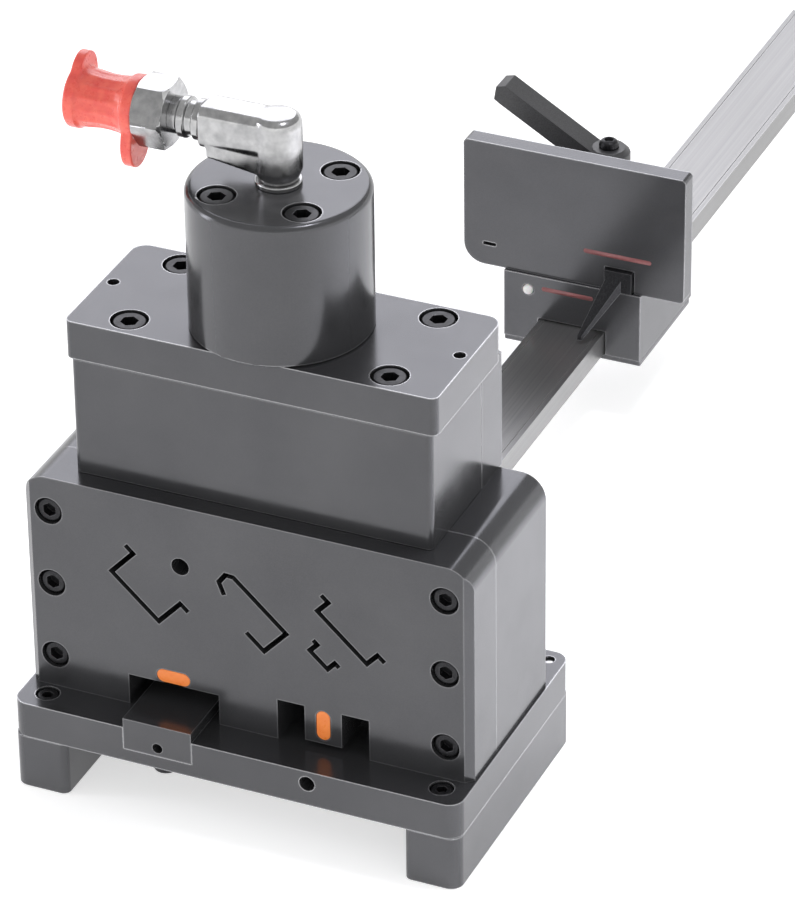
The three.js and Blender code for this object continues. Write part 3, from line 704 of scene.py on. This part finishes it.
def addCylinder():
    low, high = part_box("cylinder_body")
    radius, tall = (high.x - low.x) / 2, high.z - low.z
    look = cylinderLook
    profile = [(look["bore"], 0), (radius - look["foot"], 0), (radius, look["foot"])]
    for i in range(look["arcSteps"] + 1):
        angle = i / look["arcSteps"] * fullTurn / 4
        profile.append((radius - look["fillet"] * (1 - math.cos(angle)),
                        tall - look["fillet"] * (1 - math.sin(angle))))
    ceiling = tall - look["head"]
    profile += [(look["port"], tall), (look["port"], ceiling), (look["bore"], ceiling)]
    shell = turned(profile, 128, closed=True)
    axis = Vector(((low.x + high.x) / 2, (low.y + high.y) / 2, low.z))
    moved(shell, Matrix.Translation(axis))
    nodes = [f"cylinder_screw_{i}" for i in range(1, 5)]
    holes = counterbores(nodes, Vector((0, 0, high.z)))
    shell = rounded(shell, holes)
    shanks = []
    for node in nodes:
        place = Vector((*endOf(node, up).xy, high.z))
        shanks.append((place, up, look["screwHole"], tall + 2 * mm))
    shell = rounded(shell, shanks)
    finishPiece("cylinderBody", shell, "black_steel", "cylinder_body", edge=look["rimEdge"], sharp=35)


fittingLook = {"grid": 0.42 * mm, "armRound": 4.2 * mm, "webHalf": 7.7 * mm, "webEnd": -25 * mm,
               "hexCorner": 13.6 * mm}


def armAxis():
    low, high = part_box("coupler_body")
    return (low.y + high.y) / 2, (low.z + high.z) / 2


# A block with its four edges along X rounded.
def softBlock(low, high, radius):
    solid = block(low, high)
    chosen = []
    for edge in solid.edges:
        way = edge.verts[1].co - edge.verts[0].co
        if abs(way.x) > abs(way.y) + abs(way.z):
            chosen.append(edge)
    bmesh.ops.bevel(solid, geom=chosen, offset=radius, segments=6, profile=0.5, affect="EDGES", material=-1)
    return solid


# The forged elbow: a round column, a squared arm and a sloping web below it, under one skin.
def addElbow():
    low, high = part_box("elbow_fitting")
    y, z = armAxis()
    half = (high.y - low.y) / 2
    look = fittingLook
    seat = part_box("port_seal")[1].z
    column = turned([
        (0, low.z), (6 * mm, low.z), (6 * mm, seat), (7.4 * mm, seat), (7.8 * mm, seat + 1.6 * mm),
        (9 * mm, seat + 4.6 * mm), (9 * mm, high.z - 3.4 * mm), (8.4 * mm, high.z - 1.5 * mm),
        (6.8 * mm, high.z - 0.4 * mm), (4 * mm, high.z), (0, high.z),
    ])
    moved(column, Matrix.Translation((0, y, 0)))
    arm = softBlock((low.x, y - half + 0.6 * mm, z - half + 0.6 * mm),
                    (0, y + half - 0.6 * mm, z + half - 0.5 * mm), look["armRound"])
    web = block((look["webEnd"], y - look["webHalf"], seat + 2.5 * mm), (2 * mm, y + look["webHalf"], z))
    for spot in web.verts:
        if spot.co.x < -10 * mm and spot.co.z < z - half:
            spot.co.z = z - half - 2 * mm
    solid = column
    for part in (arm, web):
        solid = combined(solid, part, "UNION")
    solid = reskinned(solid, look["grid"], 5)
    finishPiece("elbowFitting", solid, "bright_zinc", "elbow_fitting")
    seal = turned([
        (6.2 * mm, 0), (8.3 * mm, 0), (8.6 * mm, 0.3 * mm), (8.6 * mm, 1.7 * mm), (8.3 * mm, 2 * mm),
        (6.2 * mm, 2 * mm),
    ], closed=True)
    moved(seal, Matrix.Translation((0, y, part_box("port_seal")[0].z)))
    finishPiece("portSeal", seal, "bright_zinc", "port_seal", edge=0.15 * mm, steps=2)


def addNipple():
    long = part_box("elbow_fitting")[0].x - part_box("coupler_body")[1].x
    profile = [(0, -8 * mm), (5 * mm, -8 * mm), (5 * mm, 0), (7.4 * mm, 0), (7.8 * mm, 0.4 * mm),
               (7.8 * mm, 2.6 * mm), (7.4 * mm, 3 * mm), (6.5 * mm, 3.3 * mm), (6.5 * mm, 5.7 * mm),
               (7.4 * mm, 6 * mm), (7.8 * mm, 6.4 * mm), (7.8 * mm, 8.6 * mm), (7.4 * mm, 9 * mm),
               (6.9 * mm, 9.3 * mm), (6.9 * mm, long), (0, long)]
    solid = turned(profile)
    y, z = armAxis()
    moved(solid, standing(Vector((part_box("elbow_fitting")[0].x, y, z)), left))
    finishPiece("adapterNipple", solid, "bright_zinc", "adapter_nipple", edge=0.2 * mm, steps=2)


def addCoupler():
    low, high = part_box("coupler_body")
    y, z = armAxis()
    hexLong = high.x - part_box("dust_cap")[1].x
    hexagon = bmesh.new()
    bmesh.ops.create_circle(hexagon, cap_ends=True, segments=6, radius=fittingLook["hexCorner"])
    grown = bmesh.ops.extrude_face_region(hexagon, geom=hexagon.faces[:])["geom"]
    lifted = [item for item in grown if isinstance(item, bmesh.types.BMVert)]
    bmesh.ops.translate(hexagon, verts=lifted, vec=(0, 0, hexLong))
    bmesh.ops.recalc_face_normals(hexagon, faces=hexagon.faces)
    crown = turned([(0, -1 * mm), (11 * mm, -0.2 * mm), (11.9 * mm, 0.05 * mm), (14.1 * mm, 1.5 * mm),
                    (14.1 * mm, hexLong - 1.5 * mm), (11.9 * mm, hexLong - 0.05 * mm),
                    (11 * mm, hexLong + 0.2 * mm), (0, hexLong + 1 * mm)])
    body = combined(hexagon, crown, "INTERSECT")
    body = moved(body, Matrix.Rotation(math.pi / 2, 4, "Z"))
    end = high.x - low.x
    nose = turned([
        (5.2 * mm, end), (8 * mm, end), (8.5 * mm, end - 0.5 * mm), (8.5 * mm, 20.4 * mm),
        (7.6 * mm, 20 * mm), (7.6 * mm, 18 * mm), (8.5 * mm, 17.6 * mm), (8.5 * mm, hexLong - 1 * mm),
        (5.2 * mm, hexLong - 1 * mm),
    ], closed=True)
    nose = combined(body, nose, "UNION")
    moved(nose, standing(Vector((high.x, y, z)), left))
    finishPiece("couplerBody", nose, "bright_zinc", "coupler_body", edge=0.25 * mm)
    poppet = turned([(0, 0), (2.5 * mm, 0), (2.5 * mm, 6 * mm), (4.4 * mm, 6 * mm), (4.6 * mm, 6.3 * mm),
                     (4.6 * mm, 9 * mm), (3 * mm, 10.5 * mm), (0, 10.5 * mm)], 64)
    moved(poppet, standing(Vector((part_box("coupler_poppet")[1].x, y, z)), left))
    finishPiece("couplerPoppet", poppet, "bright_zinc", "coupler_poppet", edge=0.15 * mm, steps=2)


capLook = {
    "grid": 0.32 * mm, "steps": 168, "ribs": 14, "ribHeight": 0.32 * mm, "waist": 9.9 * mm,
    # the angle of each lobe in degrees, how far out it reaches, and half its width in radians
    "outerLobe": (110, 16.8 * mm, 0.80),
    "innerLobe": (285, 22.2 * mm, 0.86),
}


# A flange with one lobe: a disc whose rim swells out towards the lobe's tip.
def lobedDisc(radius, lobe, low, high):
    angle, reach, half = lobe
    solid = bmesh.new()
    bmesh.ops.create_circle(solid, cap_ends=True, segments=96, radius=radius)
    for spot in solid.verts:
        away = abs((math.atan2(spot.co.y, spot.co.x) - math.radians(angle) + math.pi) % fullTurn - math.pi)
        swell = max(0.0, 1 - (away / half) ** 2)
        spot.co *= 1 + (reach / radius - 1) * swell ** 1.7
    grown = bmesh.ops.extrude_face_region(solid, geom=solid.faces[:])["geom"]
    lifted = [item for item in grown if isinstance(item, bmesh.types.BMVert)]
    bmesh.ops.translate(solid, verts=lifted, vec=(0, 0, high - low))
    bmesh.ops.translate(solid, verts=solid.verts, vec=(0, 0, low))
    bmesh.ops.recalc_face_normals(solid, faces=solid.faces)
    return solid


def addDustCap():
    low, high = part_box("dust_cap")
    y, z = armAxis()
    look = capLook
    long = high.x - low.x + 0.3 * mm
    sleeve = turned([
        (8.8 * mm, 0.3 * mm), (12 * mm, 0.3 * mm), (12 * mm, 3.6 * mm), (11 * mm, 5.4 * mm),
        (look["waist"] + 0.3 * mm, 8 * mm), (look["waist"], 11 * mm), (look["waist"], 15 * mm),
        (look["waist"] + 0.5 * mm, 19 * mm), (11 * mm, 22 * mm), (11.7 * mm, 23.6 * mm),
        (11.8 * mm, long - 0.5 * mm), (11 * mm, long), (8.5 * mm, long), (8 * mm, long - 0.8 * mm),
        (0, long - 0.8 * mm), (0, 20.5 * mm), (8.8 * mm, 20.5 * mm),
    ], look["steps"], closed=True)
    for spot in sleeve.verts:
        flat = Vector((spot.co.x, spot.co.y))
        if 7 * mm < spot.co.z < 20 * mm and flat.length > 9.5 * mm:
            rib = max(0.0, math.cos(math.atan2(flat.y, flat.x) * look["ribs"])) ** 0.6
            flat *= 1 + rib * look["ribHeight"] / flat.length
            spot.co.x, spot.co.y = flat
    outer = lobedDisc(11.8 * mm, look["outerLobe"], 23.2 * mm, long - 0.5 * mm)
    inner = lobedDisc(11.9 * mm, look["innerLobe"], 0.35 * mm, 4.6 * mm)
    inner = combined(inner, turned([(0, -1 * mm), (9 * mm, -1 * mm), (9 * mm, 5 * mm), (0, 5 * mm)]))
    solid = combined(combined(sleeve, outer, "UNION"), inner, "UNION")
    moved(solid, standing(Vector((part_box("dust_cap")[1].x + 0.3 * mm, y, z)), left))
    finishPiece("dustCap", reskinned(solid, look["grid"], 3), "cap_plastic", "dust_cap")


# A bar with round ends, standing out of a place, its top crowned a little when asked.
def oblong(place, out, long, short, deep, upright, crown=0.0, steps=48):
    solid = bmesh.new()
    bmesh.ops.create_circle(solid, cap_ends=True, segments=steps, radius=short / 2)
    for spot in solid.verts:
        spot.co.x += math.copysign((long - short) / 2, spot.co.x) if abs(spot.co.x) > 1e-7 else 0
    grown = bmesh.ops.extrude_face_region(solid, geom=solid.faces[:])["geom"]
    lifted = [item for item in grown if isinstance(item, bmesh.types.BMVert)]
    bmesh.ops.translate(solid, verts=lifted, vec=(0, 0, deep))
    if crown:
        top = [item for item in grown if isinstance(item, bmesh.types.BMFace)]
        for i in range(3):
            bmesh.ops.inset_region(solid, faces=top, thickness=short * 0.13, depth=crown / (i + 1.5))
    bmesh.ops.recalc_face_normals(solid, faces=solid.faces)
    turn = Matrix.Rotation(math.pi / 2 if upright else 0, 4, "Z")
    across = up if abs(out.z) < 0.5 else -front
    base = Matrix((right, across, out)).transposed().to_4x4()
    return moved(solid, Matrix.Translation(place) @ base @ turn)


stationLook = {"dieHole": 2.05 * mm, "dieHoleDown": 10 * mm, "leftEdge": 0.35 * mm, "rightEdge": 0.3 * mm,
               "markProud": 0.42 * mm, "markCrown": 0.12 * mm}


def addStations():
    look = stationLook
    low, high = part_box("left_die")
    hole = (Vector(((low.x + high.x) / 2, low.y, high.z - look["dieHoleDown"])), front, look["dieHole"],
            6.05 * mm)
    finishPiece("leftDie", rounded(nodeSolid("left_die"), [hole]), "black_steel", "left_die",
                edge=look["leftEdge"], finish=freshBlack)
    finishPiece("rightDie", nodeSolid("right_die"), "tool_steel", "right_die", edge=look["rightEdge"])
    for side, upright in (("left", False), ("right", True)):
        low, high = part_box(f"{side}_mark")
        size = sorted((high.x - low.x, high.z - low.z))
        mark = oblong(Vector(((low.x + high.x) / 2, high.y, (low.z + high.z) / 2)), front,
                      size[1], size[0], look["markProud"], upright, crown=look["markCrown"])
        finishPiece(f"{side}Mark", mark, "mark_paint", f"{side}_mark", edge=0.12 * mm, steps=2)
        low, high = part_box(f"{side}_punch")
        size = sorted((high.x - low.x, high.y - low.y))
        punch = oblong(Vector(((low.x + high.x) / 2, (low.y + high.y) / 2, low.z)), up, size[1], size[0],
                       high.z - low.z, upright)
        finishPiece(f"{side}Punch", punch, "tool_steel", f"{side}_punch", edge=0.12 * mm, steps=2)


ramLook = {"wire": 1.3 * mm, "coilRadius": 13.8 * mm, "turns": 4}


def addRam():
    finishPiece("movingBlade", nodeSolid("moving_blade"), "tool_steel", "moving_blade", edge=0.2 * mm,
                steps=2)
    finishPiece("crosshead", nodeSolid("crosshead"), "tool_steel", "crosshead", edge=0.5 * mm)
    long = longOf("blade_pin", front)
    pin = turned([(0, 0), (2.6 * mm, 0), (3 * mm, 0.4 * mm), (3 * mm, long - 0.4 * mm), (2.6 * mm, long),
                  (0, long)], 48)
    moved(pin, standing(endOf("blade_pin", front) - front * long, front))
    finishPiece("bladePin", pin, "tool_steel", "blade_pin", edge=0.1 * mm, steps=2)
    low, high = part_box("piston_rod")
    axis = Vector(((low.x + high.x) / 2, (low.y + high.y) / 2, low.z))
    tall = high.z - low.z
    rod = turned([
        (0, 0), (6.5 * mm, 0), (7 * mm, 0.5 * mm), (7 * mm, 9.6 * mm), (6.6 * mm, 10 * mm),
        (9.6 * mm, 10 * mm), (10 * mm, 10.4 * mm), (10 * mm, 67 * mm), (17.2 * mm, 67 * mm),
        (17.6 * mm, 67.4 * mm), (17.6 * mm, 71 * mm), (15 * mm, 71 * mm), (15 * mm, 74.5 * mm),
        (17.6 * mm, 74.5 * mm), (17.6 * mm, 77 * mm), (16.6 * mm, tall), (0, tall),
    ])
    moved(rod, Matrix.Translation(axis))
    finishPiece("pistonRod", rod, "bright_zinc", "piston_rod", edge=0.15 * mm, steps=2)
    low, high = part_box("piston_seal")
    lip = (high.z - low.z) / 2
    seal = turned([(15.3 * mm, 0), (17.5 * mm, 0), (17.7 * mm, 0.3 * mm), (17.3 * mm, lip),
                   (17.7 * mm, 2 * lip - 0.3 * mm), (17.5 * mm, 2 * lip), (15.3 * mm, 2 * lip)],
                  closed=True)
    moved(seal, Matrix.Translation((axis.x, axis.y, low.z)))
    finishPiece("pistonSeal", seal, "seal_rubber", "piston_seal", edge=0.1 * mm, steps=2)
    low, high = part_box("rod_guide")
    tall = high.z - low.z
    guide = turned([(10.3 * mm, 0), (13.2 * mm, 0), (13.7 * mm, 0.5 * mm), (13.7 * mm, tall - 0.5 * mm),
                    (13.2 * mm, tall), (10.3 * mm, tall)], closed=True)
    moved(guide, Matrix.Translation((axis.x, axis.y, low.z)))
    finishPiece("rodGuide", guide, "guide_bronze", "rod_guide", edge=0.1 * mm, steps=2)
    addSpring(axis)


def addSpring(axis):
    low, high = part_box("return_spring")
    look = ramLook
    spring = bmesh.new()
    rise = high.z - low.z - 2 * look["wire"]
    slope = math.atan2(rise / look["turns"], fullTurn * look["coilRadius"])
    bmesh.ops.create_circle(
        spring, cap_ends=True, segments=16, radius=look["wire"],
        matrix=Matrix.Translation((look["coilRadius"], 0, 0)) @ Matrix.Rotation(math.pi / 2 + slope, 4, "X"))
    section = spring.verts[:] + spring.edges[:] + spring.faces[:]
    steps = 48 * look["turns"]
    bmesh.ops.spin(spring, geom=section, axis=(0, 0, 1), dvec=(0, 0, rise / steps),
                   angle=fullTurn * look["turns"], steps=steps)
    bmesh.ops.remove_doubles(spring, verts=spring.verts, dist=1e-6)
    bmesh.ops.recalc_face_normals(spring, faces=spring.faces)
    moved(spring, Matrix.Translation((axis.x, axis.y, low.z + look["wire"])))
    piece = finishPiece("returnSpring", spring, "bright_zinc", "return_spring")
    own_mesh(piece)


railLook = {"edge": 0.5 * mm, "groove": 0.5 * mm, "grooveDeep": 0.25 * mm, "grooveIn": 2.4 * mm,
            "grooveStart": 22 * mm}


def addRail():
    look = railLook
    low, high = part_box("stop_rail")
    rail = nodeSolid("stop_rail")
    holes = []
    for i in (1, 2):
        head = endOf(f"rail_screw_{i}", up)
        holes.append((Vector((head.x, head.y, high.z)), up, screwSizes["m5"]["bore"], 5.06 * mm))
    rail = rounded(rail, holes)
    cutters = bmesh.new()
    for x in (low.x + look["grooveIn"], high.x - look["grooveIn"]):
        grooveLow = (x - look["groove"] / 2, low.y + look["grooveStart"], high.z - look["grooveDeep"])
        grooveHigh = (x + look["groove"] / 2, high.y + 1 * mm, high.z + 1 * mm)
        addTo(cutters, block(grooveLow, grooveHigh))
    rail = combined(rail, cutters)
    finishPiece("stopRail", rail, "rail_aluminium", "stop_rail", edge=look["edge"])


stopLook = {
    "sliderEdge": 0.6 * mm, "plateEdge": 0.5 * mm, "fingerEdge": 0.35 * mm, "lineWide": 2.0 * mm,
    # each painted line's middle along X, its distance from the finger's top or the plate's foot, its length
    "plateLine": (19.5 * mm, 6 * mm, 30 * mm),
    "sliderLine": (-2 * mm, -5.5 * mm, 23 * mm),
}


def addLengthStop():
    finishPiece("sliderBody", nodeSolid("slider_body"), "black_steel", "slider_body",
                edge=stopLook["sliderEdge"])
    finishPiece("sliderKeeper", nodeSolid("slider_keeper"), "black_steel", "slider_keeper",
                edge=stopLook["sliderEdge"])
    finishPiece("stopPlate", nodeSolid("stop_plate"), "black_steel", "stop_plate",
                edge=stopLook["plateEdge"])
    finishPiece("indexFinger", nodeSolid("index_finger"), "screw_steel", "index_finger",
                edge=stopLook["fingerEdge"])
    low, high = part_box("leg_plug")
    long = longOf("leg_plug", front)
    plug = turned([(0, long), (1.2 * mm, long - 0.15 * mm), (1.9 * mm, long - 0.6 * mm),
                   (2.2 * mm, long - 1.2 * mm), (2.2 * mm, 0), (0, 0)], 48)
    moved(plug, standing(endOf("leg_plug", front) - front * long, front))
    finishPiece("legPlug", plug, "plug_nylon", "leg_plug")
    addIndexLines()


# The painted index lines on the stop plate and on the slider's front.
def addIndexLines():
    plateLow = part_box("stop_plate")[0]
    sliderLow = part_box("slider_body")[0]
    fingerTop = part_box("index_finger")[1].z
    paint = linePaint()
    lines = (
        ("plateIndexLine", stopLook["plateLine"], plateLow.y, fingerTop),
        ("sliderIndexLine", stopLook["sliderLine"], sliderLow.y, plateLow.z),
    )
    for name, (x, lift, long), face, datum in lines:
        place = Vector((x, face + 0.2 * mm, datum + lift))
        strip = oblong(place, front, long, stopLook["lineWide"], 0.24 * mm, False)
        finishPiece(name, strip, "mark_paint", None, finish=paint, body="length_stop")


clampLook = {"hubEdge": 0.8 * mm}


def addClamp():
    length = longOf("clamp_stud", up)
    point = endOf("clamp_stud", down)
    stud = turned([(0, 0), (2.6 * mm, 0), (3 * mm, 0.4 * mm), (4 * mm, 1.5 * mm),
                   (4 * mm, length - 0.5 * mm), (3.5 * mm, length), (0, length)], 64)
    moved(stud, Matrix.Translation(point))
    finishPiece("clampStud", stud, "bright_zinc", "clamp_stud", edge=0.1 * mm, steps=2)
    finishPiece("clampHandle", nodeSolid("clamp_handle"), "lever_plastic", "clamp_handle",
                edge=clampLook["hubEdge"])
    low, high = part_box("handle_cap_screw")
    tall = high.z - low.z
    cap = turned([(0, 0), (2.5 * mm, 0), (2.5 * mm, 5.5 * mm), (4.2 * mm, 5.5 * mm),
                  (4.2 * mm, tall - 2 * mm), (3.4 * mm, tall - 0.6 * mm), (2.2 * mm, tall),
                  (1.9 * mm, tall), (1.6 * mm, tall - 1.6 * mm), (0, tall - 1.6 * mm)], 64)
    moved(cap, Matrix.Translation(((low.x + high.x) / 2, (low.y + high.y) / 2, low.z)))
    finishPiece("handleCapScrew", cap, "screw_steel", "handle_cap_screw", edge=0.2 * mm, steps=2)


addCamera(viewpoint)
addStudio(studio)
print("camera and studio placed")
addBase()
addHousing()
addCylinder()
print("base, housing and cylinder done")
addElbow()
addNipple()
addCoupler()
addDustCap()
print("oil fitting and cap done")
addStations()
addRam()
print("stations and ram done")
addRail()
addLengthStop()
addClamp()
print("rail and length stop done")
addScrews()
print("screws done")

shown = sorted(name for name, node in frame["nodes"].items() if not node.hide_render)
print("nodes shown as they are:", shown)
